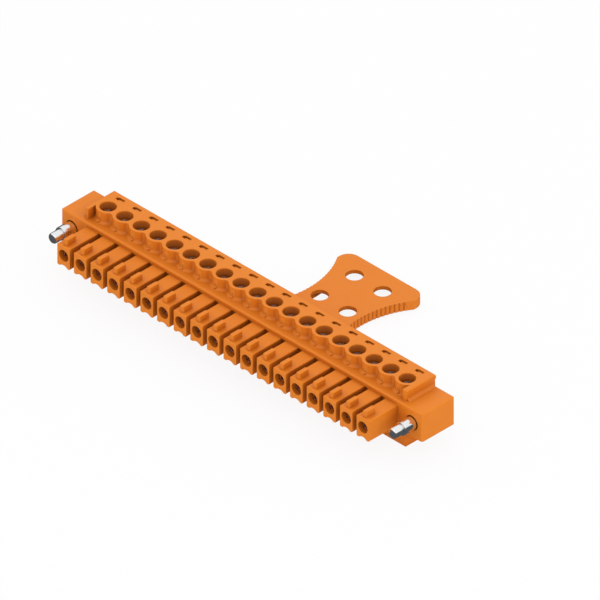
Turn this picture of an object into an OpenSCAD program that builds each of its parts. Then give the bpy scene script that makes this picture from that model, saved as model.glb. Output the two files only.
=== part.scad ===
// Pluggable terminal block: a row of screw clamps in one moulded housing, with screw flanges
// at both ends and a clip-on strain relief plate behind the wire entries.
// Millimetres. The clamp screws stand in a row along X over the origin, the plug side faces -Y,
// the wires come in from +Y, and Z = 0 is the face that the block rests on.

/* [Row] */
// Number of poles
poles = 19; // [8:1:26]
// Distance from one pole to the next
pitch = 3.81; // [3.7:0.01:4.4]

/* [Housing] */
// Height of the housing over its rest face
housing_h = 10.9; // [10.2:0.1:13]
// Height of the ledge in front of the screw bosses, which is also the top of the flanges
ledge_z = 8.85; // [8.6:0.05:9.4]
// Distance of the front wall from the row of screws
front_y = 3.7; // [3.2:0.1:4.5]
// Distance of the front bottom edge from the row of screws
foot_y = 2.98; // [2.6:0.02:3.1]
// Distance of the back wall from the row of screws
back_y = 3.8; // [3.3:0.1:5]
// Distance from the last screw to the end of the raised block
end_margin = 2.57; // [2.4:0.01:3.5]
// Radius of the long outer edges
edge_r = 0.35; // [0.1:0.05:0.45]
// Distance that the lip along the top of the back wall stands out
lip_out = 0.2; // [0.1:0.05:0.4]
// Height of the lip
lip_h = 0.7; // [0.4:0.05:0.9]
// Thickness of the floor under the clamp chambers
floor_t = 2; // [1.8:0.1:2.3]

/* [Screw bosses] */
// Radius of the boss round each screw
boss_r = 2.03; // [2:0.01:2.15]
// Radius of the fillet between two bosses
valley_r = 0.6; // [0.4:0.05:0.9]
// Radius of the cove where the bosses and end walls meet the ledge
cove_r = 0.6; // [0.3:0.05:0.8]
// Radius of the access hole over each screw
access_r = 1.4; // [1.3:0.05:1.6]
// Thickness of the end walls beside the outer bosses
end_wall_t = 0.86; // [0.5:0.02:1]
// Distance of the end walls' front from the row of screws
end_wall_y = 2.85; // [2.3:0.05:3]
// Radius of the rounded rim of each access hole
rim_r = 0.15; // [0.05:0.05:0.2]
// Radius of the round nub at the foot of each boss
nub_r = 0.28; // [0.2:0.02:0.4]

/* [Marker slots] */
// Distance of the marker slots' back from the row of screws
slot_y = 3.05; // [2.8:0.05:3.1]
// Distance from a slot's right end to its screw, along the row
slot_right = 0.95; // [0.7:0.05:1.2]
// Width of a marker slot
slot_w = 0.25; // [0.15:0.05:0.4]
// Side of the square pocket at the slot's left end
pocket_w = 0.6; // [0.3:0.05:0.7]
// Distance from the pocket's middle to its screw, along the row
pocket_left = 0.42; // [0.3:0.02:0.6]
// Depth of the square pocket
pocket_depth = 1.5; // [0.8:0.1:1.8]

/* [Plug towers] */
// Width of a tower
tower_w = 2.85; // [2.7:0.05:3.2]
// Height of a tower
tower_h = 4.1; // [3.8:0.05:4.3]
// Distance that the towers stand out from the front wall
tower_l = 6.53; // [6:0.01:8]
// Height of the tower tops below the ledge
tower_drop = 0.82; // [0.5:0.02:1]
// Radius of the towers' long edges
tower_edge_r = 0.22; // [0.1:0.02:0.3]
// Depth of the recess in the front wall between two towers
gap_recess = 0.4; // [0.1:0.05:0.5]
// Radius of the socket mouth
socket_r = 1.08; // [1:0.02:1.1]
// Depth of the round socket mouth
socket_depth = 0.9; // [0.7:0.1:1.6]
// Height of the socket and flange screw axis over the rest face
plug_axis_z = 6.16; // [6:0.02:6.3]
// Depth of the hollow under a tower
arch_depth = 0.35; // [0.1:0.05:0.5]
// Width of the coding rib on a tower
rib_w = 0.84; // [0.5:0.02:1.2]
// Height of the coding rib
rib_h = 1.15; // [0.6:0.05:1.3]
// Length of the coding rib
rib_l = 2.14; // [1.5:0.02:3.5]
// Distance from the tower's face to the rib
rib_setback = 0.39; // [0.2:0.01:0.8]

/* [Clamp] */
// Width of the clamp yoke
yoke_w = 2.9; // [2.6:0.05:2.95]
// Depth of the clamp yoke along the wire
yoke_d = 2.7; // [2:0.1:3]
// Wall of the clamp yoke
yoke_t = 0.5; // [0.35:0.05:0.55]
// Height of the threaded block at the yoke's top
thread_h = 1.4; // [1:0.1:1.6]
// Height of the wire space when the clamp is open
wire_h = 2; // [1.6:0.1:2.2]
// Lift of the yoke from open to closed
clamp_travel = 1.4; // [1:0.1:1.5]
// Radius of the clamp screw's thread
thread_r = 1; // [0.8:0.05:1.1]
// Radius of the clamp screw's head
head_r = 1.2; // [1.15:0.05:1.25]
// Height of the clamp screw's head
head_h = 1; // [0.7:0.1:1.4]
// Width of the screwdriver slot
driver_slot_w = 0.45; // [0.3:0.05:0.6]
// Depth of the screwdriver slot
driver_slot_depth = 0.45; // [0.3:0.05:0.6]
// Thickness of the web under the screw's head
web_t = 0.45; // [0.3:0.05:0.6]
// Radial clearance of the screw in the yoke
thread_gap = 0.06; // [0.02:0.01:0.1]

/* [Contact] */
// Outer width and height of the contact box
contact_w = 1.76; // [1.5:0.02:1.8]
// Length of the contact box
contact_l = 4.6; // [4:0.1:4.7]
// Thickness of the contact sheet
contact_t = 0.2; // [0.12:0.02:0.24]
// Thickness of the current bar in the clamp
bar_t = 0.5; // [0.3:0.05:0.6]
// Gap between the two spring leaves at their nip
leaf_gap = 0.66; // [0.5:0.02:0.8]

/* [Flanges] */
// Length of each flange beyond the raised block
flange_l = 4.5; // [4.2:0.05:6]
// Height of the flanges' underside over the rest face
flange_z = 3.45; // [3:0.05:3.8]
// Distance of the flanges' back from the row of screws
flange_back_y = 3.8; // [3.3:0.1:3.8]
// Radius of the flanges' upright edges
flange_corner_r = 0.4; // [0.2:0.05:0.6]
// Distance from the end of the raised block to the flange screw
flange_screw_in = 2.1; // [1.9:0.05:2.2]
// Radius of the flange screw's thread
flange_thread_r = 1.2; // [1.1:0.05:1.3]
// Radius of the flange screw's point
flange_point_r = 0.95; // [0.7:0.05:1]
// Distance that the flange screw stands out from the front wall
flange_screw_out = 4.55; // [3.5:0.05:5.5]
// Length of the flange screw's point
flange_point_l = 1.7; // [1:0.1:2]
// Radius of the flange screw's head
flange_head_r = 1.75; // [1.6:0.05:1.85]
// Length of the flange screw's head
flange_head_l = 2; // [1.2:0.1:2.2]
// Radius of the hole in the flange's face
flange_hole_r = 1.3; // [1.25:0.05:1.6]

/* [Strain relief] */
// Distance of the plate's middle from the middle of the row, in pitches
plate_offset = 0.5; // [-3:0.5:3]
// Length of the plate
plate_l = 23.9; // [20:0.1:26]
// Width of the plate at its ends
plate_w = 17.62; // [17:0.01:20]
// Width of the plate at its waist
waist_w = 12.04; // [11.6:0.01:13.5]
// Height of the plate's rim
plate_h = 1.65; // [1.4:0.05:2]
// Height of the plate's underside over the rest face
plate_z = 0.3; // [0:0.05:0.4]
// Thickness of the web inside the rim
plate_web_t = 0.7; // [0.5:0.05:1]
// Width of the rim
plate_rim_w = 1.05; // [0.8:0.05:1.1]
// Radius of the two outer corners
plate_corner_r = 2.1; // [1:0.1:3]
// Radius of the arc in each side
plate_side_r = 17; // [16:0.1:24]
// Radius of the cable tie holes
tie_hole_r = 1.5; // [1.2:0.05:1.55]
// Distance between the tie holes along the row
tie_hole_dx = 6.45; // [6:0.05:6.8]
// Distance between the tie holes along the wires
tie_hole_dy = 7.97; // [7:0.01:8.6]
// Distance from the outer edge to the outer tie holes
tie_hole_in = 4.25; // [3.5:0.05:4.8]
// Distance between the grip notches in the sides
grip_pitch = 0.82; // [0.7:0.02:1.2]
// Depth of the grip notches
grip_depth = 0.16; // [0.1:0.02:0.25]
// Length of the notched stretch of each side
grip_l = 17.2; // [10:0.1:17.6]

/* [Clearances] */
// Gap between parts that move past each other
move_gap = 0.08; // [0.05:0.01:0.12]
// Gap between parts that are clipped together
clip_gap = 0.04; // [0.02:0.01:0.08]

/* [Hidden] */
$fn = 64;
cut = 0.4;              // how far a cutter stands out of what it cuts
lap = 0.01;             // overlap that keeps rounded joins from being merely tangent
row_half = (poles - 1) / 2 * pitch;
block_x = row_half + end_margin;
flange_x = block_x + flange_l;
flange_screw_x = block_x + flange_screw_in;
tower_top = ledge_z - tower_drop;
tower_z = tower_top - tower_h;
tower_face = front_y + tower_l;
socket_end = tower_face - socket_depth;

// heights inside a clamp, from the floor up, with the clamp open
yoke_z = floor_t + move_gap;
wire_z = yoke_z + yoke_t;
bar_z = wire_z + wire_h;
bar_top = bar_z + bar_t;
thread_z = bar_top + move_gap;
thread_top = thread_z + thread_h;
chamber_top = thread_top + clamp_travel + move_gap;
web_top = chamber_top + web_t;
head_z = web_top + move_gap;
head_top = head_z + head_h;

chamber_w = yoke_w + 2 * move_gap;
chamber_y = yoke_d / 2 + move_gap;
entry_top = plug_axis_z + contact_w / 2 + 3 * move_gap;
entry_chamfer = 0.25;
cavity_w = contact_w + 3 * move_gap;
wall_t = 0.5;           // front wall beside the deeper stretch of the contact tunnel
slot_lead_drop = 0.15;  // depth of the slope that leads a marker into its slot
pocket_back = 0.13;     // distance from a marker slot's back to its pocket
rib_edge_r = 0.15;      // radius of the rounded edges of the coding ribs
contact_front = socket_end - move_gap;
contact_back = contact_front - contact_l;
contact_z = plug_axis_z - contact_w / 2;
bar_w = yoke_w - 2 * yoke_t - 2.5 * move_gap;
tail_t = 0.45;          // height of the tail behind the contact box
leaf_tip_in = 1.7;      // distance from the contact's mouth to the tips of its leaves
leaf_nip_in = 2.4;      // distance from the contact's mouth to the leaves' nip
leaf_nip_l = 0.3;
leaf_root_in = 0.4;     // distance from the contact's back to the leaves' roots
leaf_root_l = 0.5;
tail_lap = 0.3;         // how far the tail reaches under the contact box
yoke_tooth = 0.14;      // side of the grooves that grip the wire

// flange screw, from its recessed head to its point
flange_neck_r = flange_thread_r - 0.2;
flange_bore_r = flange_neck_r + move_gap;
flange_seat_y = flange_back_y - flange_head_l - 0.25;
flange_lip_y = -front_y + 2.1;
flange_groove_l = 0.22;
flange_chamfer = 0.15;
groove_chamfer = 0.1;
flange_point_chamfer = 0.35;
flange_driver_slot_w = 0.6;
flange_driver_slot_depth = 0.75;

// strain relief plate
plate_x = plate_offset * pitch;
plate_y = back_y + clip_gap;
plate_waist_y = plate_y + plate_l / 2;
tie_hole_y = plate_y + plate_l - tie_hole_in;
plate_inner_corner_r = 0.8;
clip_dx = 1.5 * pitch;  // each clip stands this far from the plate's middle
clip_neck_w = 2;
clip_head_w = 3;
clip_neck_l = 1;
clip_head_l = 1;
clip_h = 0.8;

function pole_name(base, i) = str(base, i < 10 ? "0" : "", i);
function pole_x(i) = (i - (poles + 1) / 2) * pitch;
function rounded(w, h, r) = min(r, w / 2.1, h / 2.1);

// points of an arc from angle a to angle b about [x, y]
function arc(x, y, r, a, b, steps = 6) =
    [for (k = [0:steps]) let (t = a + (b - a) * k / steps) [x + r * cos(t), y + r * sin(t)]];

// a flat outline in the YZ plane, drawn out along X from x0 to x1
module along_x(x0, x1) {
    translate([x0, 0, 0]) rotate([90, 0, 90]) linear_extrude(x1 - x0) children();
}

// a flat outline in the XZ plane, drawn out along Y from y0 to y1
module along_y(y0, y1) {
    translate([0, y1, 0]) rotate([90, 0, 0]) linear_extrude(y1 - y0) children();
}

// a box given by its low and high corners
module block(low, high) {
    translate(low) cube(high - low);
}

// a rectangle with round corners, from its low to its high corner
module round_rect(low, high, r, steps = 6) {
    c = rounded(high[0] - low[0], high[1] - low[1], r);
    polygon(concat(
        arc(high[0] - c, high[1] - c, c, 0, 90, steps),
        arc(low[0] + c, high[1] - c, c, 90, 180, steps),
        arc(low[0] + c, low[1] + c, c, 180, 270, steps),
        arc(high[0] - c, low[1] + c, c, 270, 360, steps)));
}

// a rectangle whose two upper corners are round
module round_top(low, high, r, steps = 6) {
    c = rounded(high[0] - low[0], high[1] - low[1], r);
    polygon(concat(
        [low, [high[0], low[1]]],
        arc(high[0] - c, high[1] - c, c, 0, 90, steps),
        arc(low[0] + c, high[1] - c, c, 90, 180, steps)));
}

module at_poles() {
    for (i = [1:poles]) translate([pole_x(i), 0, 0]) children();
}

module at_ends() {
    for (side = [-1, 1]) scale_x(side) children();
}

module scale_x(side) {
    mirror([side < 0 ? 1 : 0, 0, 0]) children();
}

// ---- Housing ----

// side view of the body under the bosses: foot set back, front edge of the ledge rounded
module body_profile() {
    polygon(concat(
        [[-foot_y, 0], [back_y, 0], [back_y, ledge_z]],
        arc(-front_y + edge_r, ledge_z - edge_r, edge_r, 90, 180),
        [[-front_y, flange_z]]));
}

// a flange block, rounded round its top and at its upright edges
module flange_block() {
    root_x = block_x - 1;
    intersection() {
        along_x(root_x, flange_x) round_top([-front_y, flange_z], [flange_back_y, ledge_z], edge_r);
        translate([0, 0, flange_z]) linear_extrude(ledge_z - flange_z)
            round_rect([root_x - 1, -front_y], [flange_x, flange_back_y], flange_corner_r);
        along_y(-front_y, flange_back_y) round_top([root_x - 1, flange_z], [flange_x, ledge_z], edge_r);
    }
}

// plan of the raised block: scalloped front between two end walls
module raised_plan() {
    valley_y = -sqrt(pow(boss_r + valley_r, 2) - pow(pitch / 2, 2));
    difference() {
        union() {
            translate([-block_x, 0]) square([2 * block_x, back_y + lip_out]);
            at_poles() circle(boss_r);
            for (i = [1:poles - 1]) translate([pole_x(i) + pitch / 2, 0])
                polygon([[-pitch / 2, 0], [pitch / 2, 0], [0, valley_y]]);
        }
        for (i = [1:poles - 1]) translate([pole_x(i) + pitch / 2, valley_y]) circle(valley_r + lap);
    }
    at_ends() translate([block_x - end_wall_t, 0]) polygon(concat(
        [[0, 1], [0, -end_wall_y]],
        arc(end_wall_t - edge_r, -end_wall_y + edge_r, edge_r, 270, 360),
        [[end_wall_t, 1]]));
}

// the raised block, rounded at its ends and along the lip at the top of its back
module raised_block() {
    lip_y = back_y + lip_out;
    lip_r = rounded(lip_y, lip_h, edge_r);
    intersection() {
        translate([0, 0, ledge_z - 1]) linear_extrude(housing_h - ledge_z + 1) raised_plan();
        along_x(-block_x - 1, block_x + 1) polygon(concat(
            [[-front_y, 0], [back_y, 0], [back_y, housing_h - lip_h - lip_out],
             [lip_y, housing_h - lip_h]],
            arc(lip_y - lip_r, housing_h - lip_r, lip_r, 0, 90),
            [[-front_y, housing_h]]));
        along_y(-front_y, lip_y) round_top([-block_x, 0], [block_x, housing_h], edge_r);
    }
}

// concave fillet of radius cove_r in the corner at the origin, between +X and +Z
module cove_profile() {
    difference() {
        translate([-lap, -lap]) square(cove_r);
        translate([cove_r - lap, cove_r - lap]) circle(cove_r);
    }
}

// coves at the foot of the end walls; the bosses' own are rings
module coves() {
    at_ends() along_y(-end_wall_y + edge_r, flange_back_y - edge_r)
        translate([block_x, ledge_z]) cove_profile();
    at_poles() translate([0, 0, ledge_z]) intersection() {
        rotate_extrude() translate([boss_r, 0]) cove_profile();
        translate([-pitch, -2 * pitch, -1]) cube([2 * pitch, 2 * pitch, 3]);
    }
}

// small round nub at the foot of a boss
module nub() {
    translate([0, -boss_r - nub_r / 3, ledge_z + nub_r]) sphere(nub_r, $fn = 16);
}

// front view of a tower: rounded edges and a shallow arch underneath
module tower_profile() {
    arch_w = tower_w * 0.6;
    arch_r = (pow(arch_w / 2, 2) + pow(arch_depth, 2)) / (2 * arch_depth);
    difference() {
        round_rect([-tower_w / 2, tower_z], [tower_w / 2, tower_top], tower_edge_r);
        translate([0, tower_z + arch_depth - arch_r]) circle(arch_r);
    }
}

module tower() {
    intersection() {
        along_y(-tower_face, -front_y + 1) tower_profile();
        along_x(-tower_w, tower_w)
            round_rect([-tower_face, tower_z - 1], [0, tower_top], tower_edge_r);
    }
    coding_rib();
}

// coding rib along the middle of a tower, with rounded edges
module coding_rib() {
    side_x = rib_w / 2;
    y0 = -tower_face + rib_setback;
    y1 = y0 + rib_l;
    low_z = tower_top - cut;
    high_z = tower_top + rib_h;
    intersection() {
        along_y(y0, y1) round_top([-side_x, low_z], [side_x, high_z], rib_edge_r, 3);
        along_x(-side_x, side_x) round_top([y0, low_z], [y1, high_z], rib_edge_r, 3);
        translate([0, 0, low_z]) linear_extrude(high_z - low_z)
            round_rect([-side_x, y0], [side_x, y1], rib_edge_r, 3);
    }
}

// recess in the front wall between this pole's tower and the next one
module between_towers() {
    block([tower_w / 2, -front_y - cut, tower_z],
        [pitch - tower_w / 2, -front_y + gap_recess, tower_top]);
}

// what a rounded rim takes off the edge of a hole of radius r, with the edge at height 0
module rim_profile(r) {
    polygon(concat([[r - lap, cut], [r - lap, -rim_r]],
        arc(r + rim_r, -rim_r, rim_r, 180, 90, 3), [[r + rim_r, cut]]));
}

// everything that is hollow in one pole
module pole_hollows() {
    // clamp chamber, open at the back as the wire entry
    along_x(-chamber_w / 2, chamber_w / 2) polygon([
        [-chamber_y, floor_t], [back_y - entry_chamfer, floor_t],
        [back_y + cut, floor_t - entry_chamfer - cut], [back_y + cut, entry_top + entry_chamfer + cut],
        [back_y - entry_chamfer, entry_top], [chamber_y, entry_top],
        [chamber_y, chamber_top], [-chamber_y, chamber_top]]);
    // hole for the screw's shank and the wider access hole over its head
    translate([0, 0, chamber_top - cut]) cylinder(r = thread_r + 1.25 * move_gap, h = web_t + 2 * cut);
    translate([0, 0, web_top]) cylinder(r = access_r, h = housing_h);
    translate([0, 0, housing_h]) rotate_extrude() rim_profile(access_r);
    // tunnel for the contact, with a deeper stretch where its tail steps down to the bar
    block([-cavity_w / 2, -socket_end, contact_z - move_gap],
        [cavity_w / 2, -chamber_y + cut, contact_z + contact_w + 2 * move_gap]);
    block([-cavity_w / 2, -front_y + wall_t, bar_z - move_gap],
        [cavity_w / 2, -chamber_y + cut, plug_axis_z]);
    translate([0, -tower_face + socket_depth + cut, plug_axis_z]) rotate([90, 0, 0])
        cylinder(r = socket_r, h = socket_depth + 2 * cut);
    marker_slot();
}

// slot for a marker strip: a narrow slit, a square pocket at one end and a lead-in slope
module marker_slot() {
    slit_y = slot_y - slot_w;
    pocket_y = slot_y - pocket_back - pocket_w / 2;
    block([-pocket_left, slit_y, housing_h - pocket_depth / 2], [slot_right, slot_y, housing_h + cut]);
    translate([-pocket_left, pocket_y, housing_h])
        cube([pocket_w, pocket_w, 2 * pocket_depth], center = true);
    along_x(-pocket_left + pocket_w / 2 - lap, slot_right) polygon([
        [slit_y - pocket_w, housing_h], [slit_y - pocket_w, housing_h + cut], [slit_y + lap, housing_h + cut],
        [slit_y + lap, housing_h - slot_lead_drop]]);
}

// stepped hole through a flange: front hole, captive bore, counterbore for the head
module flange_hollow() {
    translate([flange_screw_x, 0, plug_axis_z]) rotate([90, 0, 0]) {
        translate([0, 0, -flange_back_y - cut])
            cylinder(r = flange_bore_r, h = front_y + flange_back_y + 2 * cut);
        translate([0, 0, -flange_lip_y]) cylinder(r = flange_hole_r, h = front_y);
        translate([0, 0, front_y]) rotate_extrude() rim_profile(flange_hole_r);
        translate([0, 0, -flange_back_y - cut])
            cylinder(r = flange_head_r + 2 * move_gap, h = flange_back_y - flange_seat_y + cut);
    }
}

// T-shaped clip, grown by g all round to make its slot
module clip(g, low, high) {
    block([-clip_neck_w / 2 - g, -clip_neck_l - g, low], [clip_neck_w / 2 + g, clip_gap + cut, high]);
    block([-clip_head_w / 2 - g, -clip_neck_l - clip_head_l - g, low],
        [clip_head_w / 2 + g, -clip_neck_l + g, high]);
}

module at_clips() {
    for (side = [-1, 1]) translate([plate_x + side * clip_dx, back_y, 0]) children();
}

module housing() {
    color([0.94, 0.54, 0.19]) difference() {
        union() {
            along_x(-block_x, block_x) body_profile();
            at_ends() flange_block();
            raised_block();
            coves();
            at_poles() tower();
            at_poles() nub();
        }
        at_poles() pole_hollows();
        for (i = [1:poles - 1]) translate([pole_x(i), 0, 0]) between_towers();
        at_ends() flange_hollow();
        at_clips() clip(clip_gap, -cut, plate_z + clip_h + clip_gap);
    }
}

// ---- Strain relief plate ----

// plan of the plate, taken in by g from the outer edge
module plate_plan(g) {
    w = plate_w - 2 * g;
    y0 = plate_y + g;
    y1 = plate_y + plate_l - g;
    side_r = plate_side_r + g;
    difference() {
        polygon(concat(
            arc(w / 2 - plate_corner_r + g, y1 - plate_corner_r + g, plate_corner_r - g, 0, 90),
            arc(-w / 2 + plate_corner_r - g, y1 - plate_corner_r + g, plate_corner_r - g, 90, 180),
            arc(-w / 2 + plate_inner_corner_r, y0 + plate_inner_corner_r, plate_inner_corner_r, 180, 270),
            arc(w / 2 - plate_inner_corner_r, y0 + plate_inner_corner_r, plate_inner_corner_r, 270, 360)));
        for (side = [-1, 1])
            translate([side * (waist_w / 2 + plate_side_r), plate_waist_y]) circle(side_r, $fn = 128);
    }
}

// notches that give the fingers and the cable ties a grip on the arched sides
module grip_notches() {
    side_x = waist_w / 2 + plate_side_r;
    step = grip_pitch / plate_side_r * 180 / PI;
    count = floor(grip_l / grip_pitch / 2);
    notch = grip_depth * sqrt(2);   // side of the square that cuts a notch with its corner
    for (side = [-1, 1], k = [-count:count])
        translate([side * side_x, plate_waist_y, 0]) rotate([0, 0, k * step])
            translate([-side * plate_side_r, 0, plate_z + plate_h / 2]) rotate([0, 0, 45])
                cube([notch, notch, plate_h + 2 * cut], center = true);
}

module strain_relief() {
    color([0.94, 0.54, 0.19]) {
        translate([plate_x, 0, 0]) difference() {
            translate([0, 0, plate_z]) linear_extrude(plate_h) plate_plan(0);
            translate([0, 0, plate_z - cut]) linear_extrude(plate_h - plate_web_t + cut)
                plate_plan(plate_rim_w);
            for (x = [-tie_hole_dx / 2, tie_hole_dx / 2], y = [0, -tie_hole_dy])
                translate([x, tie_hole_y + y, 0]) cylinder(r = tie_hole_r, h = plate_z + plate_h + cut);
            grip_notches();
        }
        at_clips() clip(0, plate_z, plate_z + clip_h);
    }
}

// ---- Contacts ----

// outline of one spring leaf, from its root on the side wall to its flared tip
module leaf() {
    inside = contact_w / 2 - contact_t;
    nip = leaf_gap / 2;
    root_y = -contact_back - leaf_root_in;
    tip_y = -contact_front + leaf_tip_in;
    nip_y = -contact_front + leaf_nip_in;
    polygon([
        [inside + contact_t / 2, root_y - leaf_root_l], [inside + contact_t / 2, root_y],
        [inside - contact_t, root_y - contact_t], [nip, nip_y + leaf_nip_l], [nip, nip_y],
        [inside - contact_t, tip_y], [inside, tip_y],
        [nip + contact_t, nip_y + contact_t / 4],
        [nip + contact_t, nip_y + leaf_nip_l - contact_t / 4]]);
}

// one contact: folded box with two spring leaves, and a tail that steps down to the current bar
module contact() {
    along_y(-contact_front, -contact_back) difference() {
        round_rect([-contact_w / 2, contact_z], [contact_w / 2, contact_z + contact_w], contact_t);
        translate([-contact_w / 2 + contact_t, contact_z + contact_t]) square(contact_w - 2 * contact_t);
    }
    translate([0, 0, plug_axis_z - contact_w / 4]) linear_extrude(contact_w / 2)
        for (side = [-1, 1]) mirror([side < 0 ? 1 : 0, 0]) leaf();
    step_y = -chamber_y - 1.2;
    along_x(-bar_w / 2, bar_w / 2) polygon([
        [-contact_back - tail_lap, contact_z], [-contact_back - tail_lap, contact_z + tail_t],
        [step_y, contact_z + tail_t], [step_y + tail_t, bar_top], [yoke_d / 2, bar_top],
        [yoke_d / 2, bar_z], [step_y + tail_t / 2, bar_z], [step_y - tail_t / 2, contact_z]]);
}

module contacts() {
    color([0.75, 0.6, 0.38]) at_poles() contact();
}

// ---- Clamps ----

// slotted clamp screw, held by the web under its head
module clamp_screw(i) {
    color([0.72, 0.73, 0.75]) translate([pole_x(i), 0, 0]) difference() {
        union() {
            translate([0, 0, head_z]) cylinder(r = head_r, h = head_h);
            translate([0, 0, thread_z]) cylinder(r = thread_r, h = head_z - thread_z + lap);
        }
        block([-driver_slot_w / 2, -head_r - cut, head_top - driver_slot_depth],
            [driver_slot_w / 2, head_r + cut, head_top + cut]);
    }
}

// rising yoke: a folded strip with a threaded block over the current bar and a floor under the wire
module clamp_yoke(i) {
    color([0.62, 0.62, 0.6]) translate([pole_x(i), 0, 0]) difference() {
        along_y(-yoke_d / 2, yoke_d / 2) difference() {
            round_rect([-yoke_w / 2, yoke_z], [yoke_w / 2, thread_top], yoke_t * 0.7);
            translate([-yoke_w / 2 + yoke_t, wire_z])
                square([yoke_w - 2 * yoke_t, thread_z - wire_z]);
        }
        // bore, run down into the side walls so that the screw's end clears them when the clamp closes
        translate([0, 0, thread_z - clamp_travel - 2 * move_gap])
            cylinder(r = thread_r + thread_gap, h = thread_h + clamp_travel + 2 * move_gap + cut);
        for (k = [-1:1]) translate([0, k * yoke_d / 4, wire_z]) rotate([45, 0, 0])
            cube([yoke_w - 2 * yoke_t, yoke_tooth, yoke_tooth], center = true);
    }
}

// ---- Flange screws ----

// captive screw, drawn from its slotted head at the back to the plain point that finds the thread
module flange_screw() {
    head_y = -flange_seat_y - flange_head_l + move_gap;
    seat_y = -flange_seat_y - move_gap;
    thread_y = front_y + 0.05;
    point_y = front_y + flange_screw_out;
    point_root_y = point_y - flange_point_l;
    groove_y = point_root_y - flange_groove_l;
    groove_r = flange_point_r - 0.1;
    color([0.78, 0.79, 0.8]) translate([flange_screw_x, 0, plug_axis_z]) rotate([90, 0, 0]) difference() {
        rotate_extrude() polygon([
            [0, head_y], [flange_head_r - flange_chamfer, head_y],
            [flange_head_r, head_y + flange_chamfer], [flange_head_r, seat_y],
            [flange_neck_r, seat_y], [flange_neck_r, thread_y],
            [flange_thread_r, thread_y], [flange_thread_r, groove_y - groove_chamfer],
            [groove_r, groove_y], [groove_r, point_root_y],
            [flange_point_r, point_root_y + groove_chamfer / 2],
            [flange_point_r, point_y - flange_point_chamfer],
            [flange_point_r - flange_point_chamfer, point_y], [0, point_y]]);
        translate([0, 0, head_y]) cube(
            [flange_driver_slot_w, 2 * flange_head_r + cut, 2 * flange_driver_slot_depth], center = true);
    }
}

module flange_screw_left() {
    mirror([1, 0, 0]) flange_screw();
}

module flange_screw_right() {
    flange_screw();
}

housing();
strain_relief();
contacts();
flange_screw_left();
flange_screw_right();
for (i = [1:poles]) clamp_screw(i);
for (i = [1:poles]) clamp_yoke(i);
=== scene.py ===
"""Looks of a pluggable terminal block: an orange moulded housing with a row of screw clamps, two
captive flange screws and a clip-on strain relief plate. Lengths are in metres unless a name ends in _mm."""

import math

import bpy
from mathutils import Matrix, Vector


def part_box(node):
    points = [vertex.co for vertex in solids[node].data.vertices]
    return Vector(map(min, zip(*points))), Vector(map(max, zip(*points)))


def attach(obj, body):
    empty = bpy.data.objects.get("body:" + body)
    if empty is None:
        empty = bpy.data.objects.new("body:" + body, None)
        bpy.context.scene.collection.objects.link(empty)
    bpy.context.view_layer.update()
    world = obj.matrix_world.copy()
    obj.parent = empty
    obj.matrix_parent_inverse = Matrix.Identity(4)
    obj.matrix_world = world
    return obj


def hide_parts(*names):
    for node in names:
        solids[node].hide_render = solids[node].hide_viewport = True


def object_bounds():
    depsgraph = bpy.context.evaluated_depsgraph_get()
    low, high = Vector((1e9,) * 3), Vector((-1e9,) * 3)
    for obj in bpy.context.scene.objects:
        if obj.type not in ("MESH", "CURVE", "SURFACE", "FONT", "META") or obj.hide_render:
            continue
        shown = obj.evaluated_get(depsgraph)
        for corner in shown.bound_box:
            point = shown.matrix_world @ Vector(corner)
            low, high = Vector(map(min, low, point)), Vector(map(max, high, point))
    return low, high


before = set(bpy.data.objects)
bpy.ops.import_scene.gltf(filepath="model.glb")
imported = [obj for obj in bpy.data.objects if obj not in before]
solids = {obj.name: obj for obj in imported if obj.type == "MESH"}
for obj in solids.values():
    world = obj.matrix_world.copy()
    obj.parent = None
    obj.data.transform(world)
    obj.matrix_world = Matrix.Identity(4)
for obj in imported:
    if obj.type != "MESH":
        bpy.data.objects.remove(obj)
cad_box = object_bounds()
MM = 0.001

# ---- Viewpoint ----
# The plug is seen from its socket side and its right end, from above and without perspective, so
# that the row of poles runs across the frame from the upper left to the lower right.

AZIMUTH, ELEVATION = 45, 35
AIM_MM = (1.385, 8.295, 5.9)
VIEW_WIDTH_MM = 97.24
STAND_OFF_MM = 400

camera_data = bpy.data.cameras.new("viewpoint")
camera_data.type = "ORTHO"
camera_data.ortho_scale = VIEW_WIDTH_MM * MM
camera_data.clip_start = 10 * MM
camera_data.clip_end = 2
camera = bpy.data.objects.new("viewpoint", camera_data)
bpy.context.scene.collection.objects.link(camera)
camera.rotation_euler = (math.radians(90 - ELEVATION), 0, math.radians(AZIMUTH))
bpy.context.view_layer.update()
camera.location = Vector(AIM_MM) * MM + camera.matrix_world.to_3x3() @ Vector((0, 0, STAND_OFF_MM * MM))
bpy.context.scene.camera = camera
bpy.context.scene.view_settings.view_transform = "Standard"

# ---- Housing ----
# One moulding of orange polyamide that holds every pole. It leaves its mould with satin, spark-eroded
# faces and lightly rounded edges. Shade is painted into its colour in corners and gaps, where light hardly
# reaches.

ORANGE = (0.86, 0.245, 0.013, 1)
ORANGE_DEEP = (0.82, 0.22, 0.011, 1)
# Painted shade: the next colour is painted into corners and gaps, within the reach below from a facing wall.
ORANGE_PAINTED_SHADE = (0.34, 0.08, 0.006, 1)
PAINTED_SHADE_REACH_MM = 3
EDGE_ROUND_MM = 0.1
CLOUD_MM, GRAIN_MM, GRAIN_DEPTH_MM = 3.0, 0.06, 0.004
MOULDED_SMOOTH_BELOW = 2     # degrees between faces that are shaded as one curve


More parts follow.
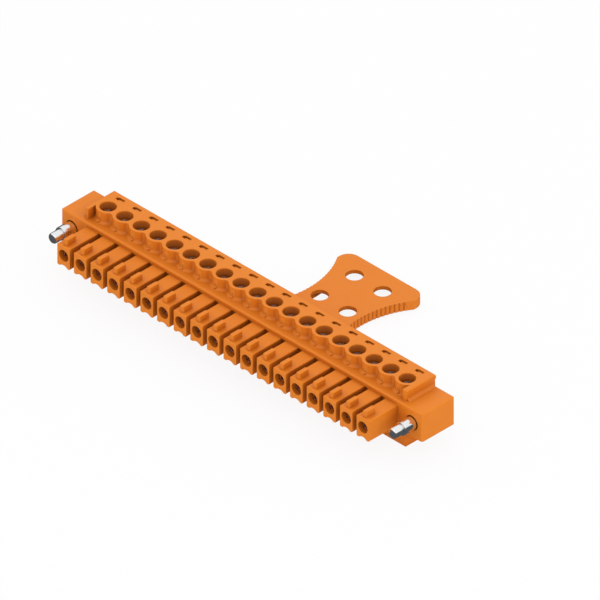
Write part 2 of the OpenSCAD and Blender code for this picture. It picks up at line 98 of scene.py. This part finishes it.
class Channel:
    """One output of a node. Arithmetic on it adds Math nodes to its tree."""

    def __init__(self, finish, socket):
        self.finish = finish
        self.socket = socket

    def math(self, operation, *values):
        return self.finish.node("ShaderNodeMath", {"operation": operation}, dict(enumerate(values)))

    def __add__(self, other):
        return self.math("ADD", self, other)

    def __sub__(self, other):
        return self.math("SUBTRACT", self, other)

    def __rsub__(self, other):
        return self.math("SUBTRACT", other, self)

    def __mul__(self, other):
        return self.math("MULTIPLY", self, other)

    def __truediv__(self, other):
        return self.math("DIVIDE", self, other)

    def __rtruediv__(self, other):
        return self.math("DIVIDE", other, self)

    def __pow__(self, other):
        return self.math("POWER", self, other)

    def __rpow__(self, other):
        return self.math("POWER", other, self)

    def at_most(self, limit):
        return self.math("MINIMUM", self, limit)

    def wrapped(self, half_width):
        """The value brought back into the stretch from minus to plus half_width."""
        return self.math("WRAP", self, half_width, -half_width)

    def waves(self, length):
        return self.math("SINE", self * (2 * math.pi / length))

    __radd__ = __add__
    __rmul__ = __mul__


class Finish:
    """The node tree of one material or of the world."""

    def __init__(self, owner):
        owner.use_nodes = True
        self.tree = owner.node_tree
        self.tree.nodes.clear()

    def node(self, kind, settings, inputs, output=0):
        """Adds one node: its settings first, then the values or channels of its inputs."""
        made = self.tree.nodes.new(kind)
        for name, value in settings.items():
            setattr(made, name, value)
        for name, value in inputs.items():
            if isinstance(value, Channel):
                self.tree.links.new(value.socket, made.inputs[name])
            else:
                made.inputs[name].default_value = value
        return Channel(self, made.outputs[output]) if made.outputs else None

    def place(self):
        return self.node("ShaderNodeTexCoord", {}, {}, "Object")

    def distance_mm(self, axis):
        """Distance from the origin along one axis of the object, in millimetres."""
        return self.node("ShaderNodeSeparateXYZ", {}, {0: self.place()}, axis) / MM

    def noise(self, size_mm, detail=2):
        """Noise whose patches are about size_mm across."""
        return self.node("ShaderNodeTexNoise", {}, {
            "Vector": self.place(), "Scale": 1 / (size_mm * MM), "Detail": detail})

    def mix(self, share, first, second):
        """From the first colour to the second as share goes from 0 to 1."""
        return self.node("ShaderNodeMix", {"data_type": "RGBA"}, {0: share, 6: first, 7: second}, 2)

    def bump(self, height, depth_mm, edge_mm):
        """The height's relief on a surface whose sharp edges are rounded over."""
        rounded = self.node("ShaderNodeBevel", {"samples": 6}, {"Radius": edge_mm * MM})
        return self.node("ShaderNodeBump", {}, {
            "Height": height, "Distance": depth_mm * MM, "Normal": rounded})


def moulded_plastic(name, color, deep_color, painted_shade_color):
    """Satin polyamide: faint clouds in the colour, a fine grain, and painted shade that darkens the colour
    in corners and gaps.
    """
    material = bpy.data.materials.new(name)
    finish = Finish(material)
    clouds = finish.noise(CLOUD_MM)
    grain = finish.noise(GRAIN_MM, detail=3)
    # Painted shade: ambient occlusion darkens the base colour towards the shade colour where the surface is
    # enclosed.
    painted_shade_openness = finish.node("ShaderNodeAmbientOcclusion", {"samples": 8, "only_local": True},
                           {"Distance": PAINTED_SHADE_REACH_MM * MM}, "AO")
    clouded_tint_with_painted_shade = finish.mix(painted_shade_openness, painted_shade_color, finish.mix(clouds, deep_color, color))
    shell = finish.node("ShaderNodeBsdfPrincipled", {}, {
        "Base Color": clouded_tint_with_painted_shade, "Roughness": grain * 0.12 + 0.42, "IOR": 1.5, "Specular IOR Level": 0.3,
        "Normal": finish.bump(grain, GRAIN_DEPTH_MM, EDGE_ROUND_MM)})
    finish.node("ShaderNodeOutputMaterial", {}, {"Surface": shell})
    return material


def only(thing):
    """Leaves just this object selected and active."""
    bpy.ops.object.select_all(action="DESELECT")
    thing.select_set(True)
    bpy.context.view_layer.objects.active = thing


def copied(original, name):
    """A copy with its own mesh, without the marks that the frame puts on a solid."""
    piece = original.copy()
    piece.data = original.data.copy()
    piece.parent = None
    piece.name = name
    for key in [key for key in piece.keys() if key.startswith("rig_")]:
        del piece[key]
    bpy.context.scene.collection.objects.link(piece)
    return piece


def shaded(piece, below):
    """Smooth shading, broken at the piece's sharp edges."""
    only(piece)
    bpy.ops.object.shade_smooth_by_angle(angle=math.radians(below))


def softened(node, name):
    """A solid's copy as one skin, shaded smooth where its faces meet at a small angle."""
    piece = copied(solids[node], name)
    only(piece)
    bpy.ops.object.mode_set(mode="EDIT")
    bpy.ops.mesh.select_all(action="SELECT")
    bpy.ops.mesh.remove_doubles(threshold=1e-6)
    bpy.ops.object.mode_set(mode="OBJECT")
    shaded(piece, MOULDED_SMOOTH_BELOW)
    return piece


def dressed(piece, material, body, node):
    """Gives a piece its material and its body, and hides the solid it stands for."""
    piece.data.materials.clear()
    piece.data.materials.append(material)
    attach(piece, body)
    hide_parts(node)


orange_plastic = moulded_plastic("orange_plastic", ORANGE, ORANGE_DEEP, ORANGE_PAINTED_SHADE)
housing = softened("housing", "housing_moulding")
dressed(housing, orange_plastic, "housing", "housing")

# ---- Strain relief plate ----
# A thin ribbed plate of the same polyamide, clipped into the housing under the wire entries. Cable
# ties go through its four holes, and the notches in its arched sides keep them from slipping.

plate = softened("strain_relief", "strain_relief_plate")
dressed(plate, orange_plastic, "housing", "strain_relief")

# ---- Contacts ----
# One folded spring bronze contact in each tower, with two leaves that grip the header's pin and a
# tail that lies in the clamp. The strip keeps the faint lines of the rolls and its sheared edges.

BRONZE = (0.95, 0.6, 0.42, 1)
BRONZE_DULL = (0.75, 0.42, 0.27, 1)
ROLL_LINES_MM, ROLL_LINE_DEPTH_MM = 0.05, 0.001


def sheet_metal(name, color, dull_color, roughness):
    """Rolled and punched strip: soft patches of shine, and fine lines left by the rolls."""
    material = bpy.data.materials.new(name)
    finish = Finish(material)
    patches = finish.noise(0.8)
    lines = finish.distance_mm(2).waves(ROLL_LINES_MM) * finish.noise(0.2)
    shell = finish.node("ShaderNodeBsdfPrincipled", {}, {
        "Base Color": finish.mix(patches, dull_color, color), "Metallic": 1.0,
        "Roughness": patches * 0.15 + roughness,
        "Normal": finish.bump(lines, ROLL_LINE_DEPTH_MM, edge_mm=0.03)})
    finish.node("ShaderNodeOutputMaterial", {}, {"Surface": shell})
    return material


bronze = sheet_metal("contact_bronze", BRONZE, BRONZE_DULL, roughness=0.45)
contacts = softened("contacts", "contact_springs")
dressed(contacts, bronze, "housing", "contacts")

# ---- Clamp yokes ----
# Nickel-plated steel strip folded into a box, with a tapped block at its top. The screw draws it up,
# so that its grooved floor presses the wire against the current bar.

NICKEL_PLATE = (0.62, 0.6, 0.57, 1)
NICKEL_PLATE_DULL = (0.45, 0.44, 0.42, 1)

poles = sum(name.startswith("clamp_yoke_") for name in solids)


def middle_mm(node):
    """Middle of a solid's box, in millimetres."""
    low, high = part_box(node)
    return (low + high) / 2 / MM


first_pole_mm = middle_mm("clamp_yoke_01").x
pitch_mm = middle_mm("clamp_yoke_02").x - first_pole_mm


def for_every_pole(first, name, node, material):
    """Copies the first pole's piece along the row, a mesh for each, and dresses them all."""
    row = [first] + [copied(first, f"{name}_{pole:02d}") for pole in range(2, poles + 1)]
    for step, piece in enumerate(row):
        only(piece)
        bpy.ops.object.mode_set(mode="EDIT")
        bpy.ops.mesh.select_all(action="SELECT")
        bpy.ops.transform.translate(value=(step * pitch_mm * MM, 0, 0))
        bpy.ops.object.mode_set(mode="OBJECT")
        carrier = f"{node}_{step + 1:02d}"
        dressed(piece, material, carrier, carrier)


plated_strip = sheet_metal("plated_strip", NICKEL_PLATE, NICKEL_PLATE_DULL, roughness=0.3)
first_clamp = softened("clamp_yoke_01", "wire_clamp_01")
for_every_pole(first_clamp, "wire_clamp", "clamp_yoke", plated_strip)

# ---- Clamp screws ----
# Cheese-head screws of zinc-plated steel, turned and slotted, with rolled threads. Each hangs by its
# head from the web under its access hole, and turns in the tapped top of its yoke.

ZINC = (0.68, 0.7, 0.73, 1)
ZINC_DULL = (0.5, 0.52, 0.55, 1)
TURNED_SMOOTH_BELOW = 25
TURNING_MM = 0.07            # distance between the rings that the lathe leaves
TURNING_DEPTH_MM = 0.0015
HEAD_H_MM = 1.0
HEAD_CROWN_MM = 0.1
HEAD_ROUND_MM = 0.14
CORE_R_MM = 0.78
THREAD_DEPTH_MM = 0.22
THREAD_PITCH_MM = 0.4
TIP_CHAMFER_MM = 0.25
THREAD_SHORT_MM = 1.5        # plain shank left under the head, with the run-out at the tip
SLOT_W_MM, SLOT_DEPTH_MM = 0.45, 0.45


def turned_metal(name, color, dull_color, roughness, centre_z_mm=None):
    """Turned and plated metal, with fine rings round the row's screws or round an axis along Y."""
    material = bpy.data.materials.new(name)
    finish = Finish(material)
    patches = finish.noise(0.5)
    across = (finish.distance_mm(0) - first_pole_mm).wrapped(pitch_mm / 2)
    other = finish.distance_mm(1) if centre_z_mm is None else finish.distance_mm(2) - centre_z_mm
    rings = (across * across + other * other) ** 0.5
    shell = finish.node("ShaderNodeBsdfPrincipled", {}, {
        "Base Color": finish.mix(patches, dull_color, color), "Metallic": 1.0,
        "Roughness": patches * 0.12 + roughness,
        "Normal": finish.bump(rings.waves(TURNING_MM), TURNING_DEPTH_MM, edge_mm=0.04)})
    finish.node("ShaderNodeOutputMaterial", {}, {"Surface": shell})
    return material


def turned(name, foot_mm, axis, stations, sides=48):
    """A piece turned on a lathe: a disc drawn out along an axis, from one (distance, radius) to the next."""
    along, foot = Vector(axis), Vector(foot_mm)
    (distance, radius), *following = stations
    bpy.ops.object.select_all(action="DESELECT")
    bpy.ops.mesh.primitive_circle_add(
        vertices=sides, radius=radius * MM, fill_type="NGON", location=(foot + along * distance) * MM,
        rotation=along.to_track_quat("Z", "Y").to_euler())
    piece = bpy.context.object
    piece.name = name
    bpy.ops.object.transform_apply()
    bpy.ops.object.mode_set(mode="EDIT")
    bpy.ops.mesh.select_all(action="SELECT")
    for next_distance, next_radius in following:
        step = along * (next_distance - distance) * MM
        bpy.ops.mesh.extrude_region_move(TRANSFORM_OT_translate={"value": step})
        growth = next_radius / radius
        bpy.ops.transform.resize(value=[1 if part else growth for part in along],
                                 center_override=(foot + along * next_distance) * MM)
        distance, radius = next_distance, next_radius
    bpy.ops.mesh.select_all(action="SELECT")
    bpy.ops.mesh.normals_make_consistent(inside=False)
    bpy.ops.object.mode_set(mode="OBJECT")
    return piece


def slotted(piece, middle, size_mm):
    """Cuts a screwdriver slot, a box given by its middle and its size in millimetres."""
    bpy.ops.object.select_all(action="DESELECT")
    bpy.ops.mesh.primitive_cube_add(size=MM, location=Vector(middle) * MM, scale=size_mm)
    cutter = bpy.context.object
    bpy.ops.object.transform_apply()
    only(piece)
    slot = piece.modifiers.new("driver_slot", "BOOLEAN")
    slot.object = cutter
    slot.solver = "EXACT"
    bpy.ops.object.modifier_apply(modifier=slot.name)
    bpy.data.objects.remove(cutter)


def rolled_thread(foot_mm, radius_mm, length_mm):
    """One ridge that winds up a screw's shank, closed at both ends."""
    bpy.ops.object.select_all(action="DESELECT")
    bpy.ops.mesh.primitive_circle_add(
        vertices=3, radius=THREAD_DEPTH_MM * MM, location=(radius_mm * MM, 0, 0),
        rotation=(math.radians(90), math.radians(90), 0))
    ridge = bpy.context.object
    bpy.ops.object.transform_apply()
    winding = ridge.modifiers.new("winding", "SCREW")
    winding.screw_offset = THREAD_PITCH_MM * MM
    winding.iterations = int(length_mm / THREAD_PITCH_MM)
    winding.steps = winding.render_steps = 16
    bpy.ops.object.modifier_apply(modifier=winding.name)
    bpy.ops.object.mode_set(mode="EDIT")
    bpy.ops.mesh.select_all(action="SELECT")
    bpy.ops.mesh.fill_holes(sides=3)
    bpy.ops.mesh.select_all(action="SELECT")
    bpy.ops.mesh.normals_make_consistent(inside=False)
    bpy.ops.transform.translate(value=Vector(foot_mm) * MM)
    bpy.ops.object.mode_set(mode="OBJECT")
    return ridge


screw_low, screw_high = [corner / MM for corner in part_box("clamp_screw_01")]
screw_foot_mm = (first_pole_mm, 0, screw_low.z)
head_r = (screw_high.x - screw_low.x) / 2
screw_l = screw_high.z - screw_low.z
head_from = screw_l - HEAD_H_MM
first_screw = turned("wire_screw_01", screw_foot_mm, (0, 0, 1), [
    (0, CORE_R_MM - TIP_CHAMFER_MM), (TIP_CHAMFER_MM, CORE_R_MM), (head_from, CORE_R_MM),
    (head_from, head_r - HEAD_ROUND_MM / 2), (head_from + HEAD_ROUND_MM / 2, head_r),
    (screw_l - HEAD_ROUND_MM, head_r), (screw_l - HEAD_ROUND_MM * 0.4, head_r - HEAD_ROUND_MM * 0.3),
    (screw_l, head_r - HEAD_ROUND_MM), (screw_l + HEAD_CROWN_MM * 0.6, head_r * 0.6),
    (screw_l + HEAD_CROWN_MM, head_r * 0.2)])
slotted(first_screw, (first_pole_mm, 0, screw_high.z), (SLOT_W_MM, 3 * head_r, 2 * SLOT_DEPTH_MM))
thread_foot_mm = Vector(screw_foot_mm) + Vector((0, 0, TIP_CHAMFER_MM))
thread = rolled_thread(thread_foot_mm, CORE_R_MM, head_from - THREAD_SHORT_MM)
only(thread)
first_screw.select_set(True)
bpy.context.view_layer.objects.active = first_screw
bpy.ops.object.join()
shaded(first_screw, TURNED_SMOOTH_BELOW)
zinc_plate = turned_metal("zinc_plate", ZINC, ZINC_DULL, roughness=0.3)
for_every_pole(first_screw, "wire_screw", "clamp_screw", zinc_plate)

# ---- Flange screws ----
# Captive screws of bright nickel-plated steel, one through each flange. The slotted head sits in the
# flange's back, and the grooved end with its smooth round point finds the header's threaded insert.

NICKEL = (0.86, 0.86, 0.86, 1)
NICKEL_DULL = (0.8, 0.8, 0.8, 1)
FLANGE_HEAD_L_MM = 1.84
FLANGE_NECK_R_MM = 1.0
FLANGE_SHANK_R_MM = 1.2
FLANGE_POINT_R_MM = 0.95
FLANGE_GROOVE_R_MM = 0.85
FLANGE_SHANK_L_MM = 2.58
FLANGE_GROOVE_L_MM = 0.22
FLANGE_POINT_L_MM = 1.7
FLANGE_SHANK_RUN_OUT_MM = 0.1
FLANGE_POINT_STEP_MM = 0.05
FLANGE_HEAD_CHAMFER_MM = 0.15
FLANGE_SLOT_W_MM, FLANGE_SLOT_DEPTH_MM = 0.6, 0.75


def flange_screw(node, name):
    """The screw from the slotted face of its head at the back to its point."""
    low, high = [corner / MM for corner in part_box(node)]
    middle = middle_mm(node)
    head_r = (high.x - low.x) / 2
    length = high.y - low.y
    groove = length - FLANGE_POINT_L_MM - FLANGE_GROOVE_L_MM
    point = length - FLANGE_POINT_L_MM
    tip_r = FLANGE_POINT_R_MM * 0.4
    tip = [(length - tip_r * (1 - math.sin(turn)), FLANGE_POINT_R_MM - tip_r * (1 - math.cos(turn)))
           for turn in [math.radians(angle) for angle in (0, 22, 45, 67, 90)]]
    piece = turned(name, (middle.x, high.y, middle.z), (0, -1, 0), [
        (0, head_r - FLANGE_HEAD_CHAMFER_MM), (FLANGE_HEAD_CHAMFER_MM, head_r),
        (FLANGE_HEAD_L_MM, head_r), (FLANGE_HEAD_L_MM, FLANGE_NECK_R_MM),
        (groove - FLANGE_SHANK_L_MM, FLANGE_NECK_R_MM), (groove - FLANGE_SHANK_L_MM, FLANGE_SHANK_R_MM),
        (groove - FLANGE_SHANK_RUN_OUT_MM, FLANGE_SHANK_R_MM), (groove, FLANGE_GROOVE_R_MM),
        (point, FLANGE_GROOVE_R_MM),
        (point + FLANGE_POINT_STEP_MM, FLANGE_POINT_R_MM)] + tip, sides=64)
    slotted(piece, (middle.x, high.y, middle.z), (FLANGE_SLOT_W_MM, 2 * FLANGE_SLOT_DEPTH_MM, 3 * head_r))
    shaded(piece, TURNED_SMOOTH_BELOW)
    return piece


bright_nickel = turned_metal("bright_nickel", NICKEL, NICKEL_DULL, roughness=0.03,
                             centre_z_mm=middle_mm("flange_screw_left").z)
for side in ("left", "right"):
    node = f"flange_screw_{side}"
    dressed(flange_screw(node, f"captive_screw_{side}"), bright_nickel, node, node)

# ---- Light and floor ----
# Soft even studio light: a white surround, a large soft box over the front left and a low one on the
# right. A dark flag that only reflections show gives the bright screws their dark sides.

WHITE = (1, 1, 1, 1)
SKY_LIGHT = 0.93


def seen_directly(finish):
    """1 for what the camera, a reflection or a clear material shows, 0 for light on a dull surface."""
    rays = ["Is Camera Ray", "Is Glossy Ray", "Is Transmission Ray"]
    camera_ray, glossy_ray, clear_ray = [finish.node("ShaderNodeLightPath", {}, {}, ray) for ray in rays]
    return (camera_ray + glossy_ray + clear_ray).at_most(1)


world = bpy.data.worlds.new("studio")
bpy.context.scene.world = world
sky = Finish(world)
backdrop = sky.node("ShaderNodeBackground", {}, {
    "Color": WHITE, "Strength": seen_directly(sky) * (1 - SKY_LIGHT) + SKY_LIGHT})
sky.node("ShaderNodeOutputWorld", {}, {"Surface": backdrop})


def soft_box(name, azimuth, elevation, size_mm, distance_mm, watts):
    lamp_data = bpy.data.lights.new(name, "AREA")
    lamp_data.shape = "DISK"
    lamp_data.size = size_mm * MM
    lamp_data.energy = watts
    lamp = bpy.data.objects.new(name, lamp_data)
    bpy.context.scene.collection.objects.link(lamp)
    lamp.rotation_euler = (math.radians(90 - elevation), 0, math.radians(azimuth))
    bpy.context.view_layer.update()
    lamp.location = lamp.matrix_world.to_3x3() @ Vector((0, 0, distance_mm * MM))


soft_box("key_light", azimuth=30, elevation=60, size_mm=300, distance_mm=400, watts=0.12)
soft_box("side_light", azimuth=85, elevation=12, size_mm=120, distance_mm=400, watts=0.09)

FLOOR_SIZE_MM = 3000
FLOOR_WHITE = (0.94, 0.94, 0.94, 1)
FLOOR_OWN_LIGHT = 0.9        # share of the floor's white that shadows don't darken

bpy.ops.mesh.primitive_plane_add(size=FLOOR_SIZE_MM * MM, location=(0, 0, cad_box[0][2]))
floor = bpy.context.object
floor.name = "floor"
floor.data.materials.append(bpy.data.materials.new("pale_floor"))
floor_finish = Finish(floor.data.materials[0])
matt = floor_finish.node("ShaderNodeBsdfDiffuse", {}, {"Color": FLOOR_WHITE})
glow = floor_finish.node("ShaderNodeEmission", {}, {"Color": WHITE, "Strength": 1})
floor_surface = floor_finish.node(
    "ShaderNodeMixShader", {}, {0: seen_directly(floor_finish) * FLOOR_OWN_LIGHT, 1: matt, 2: glow})
floor_finish.node("ShaderNodeOutputMaterial", {}, {"Surface": floor_surface})

FLAG_RING_MM = 260
FLAG_HEIGHT_MM = 70
FLAG_HOLE_MM = 4             # radius of the hole in the middle of the flag's foot
FLAG_OVER_FLOOR_MM = 0.1
FLAG_GREY = (0.09, 0.1, 0.11, 1)

bpy.ops.mesh.primitive_cylinder_add(vertices=64, radius=FLAG_RING_MM * MM, depth=FLAG_HEIGHT_MM * MM,
                                    end_fill_type="NOTHING", location=(0, 0, FLAG_HEIGHT_MM / 2 * MM))
flag = bpy.context.object
flag.name = "black_flag"
bpy.ops.object.transform_apply()
bpy.ops.object.mode_set(mode="EDIT")
bpy.ops.mesh.select_all(action="DESELECT")
bpy.ops.object.mode_set(mode="OBJECT")
for vertex in flag.data.vertices:
    vertex.select = vertex.co.z < FLAG_OVER_FLOOR_MM * MM
bpy.ops.object.mode_set(mode="EDIT")
bpy.ops.mesh.select_mode(type="VERT")
bpy.ops.mesh.extrude_region_move(TRANSFORM_OT_translate={"value": (0, 0, FLAG_OVER_FLOOR_MM * MM)})
shrink = FLAG_HOLE_MM / FLAG_RING_MM
bpy.ops.transform.resize(value=(shrink, shrink, 1), center_override=(0, 0, 0))
bpy.ops.object.mode_set(mode="OBJECT")
flag.data.materials.append(bpy.data.materials.new("black_cloth"))
flag_finish = Finish(flag.data.materials[0])
dark = flag_finish.node("ShaderNodeEmission", {}, {"Color": FLAG_GREY, "Strength": 1})
flag_finish.node("ShaderNodeOutputMaterial", {}, {"Surface": dark})
flag.visible_camera = False
flag.visible_diffuse = False
flag.visible_shadow = False
flag.visible_transmission = False
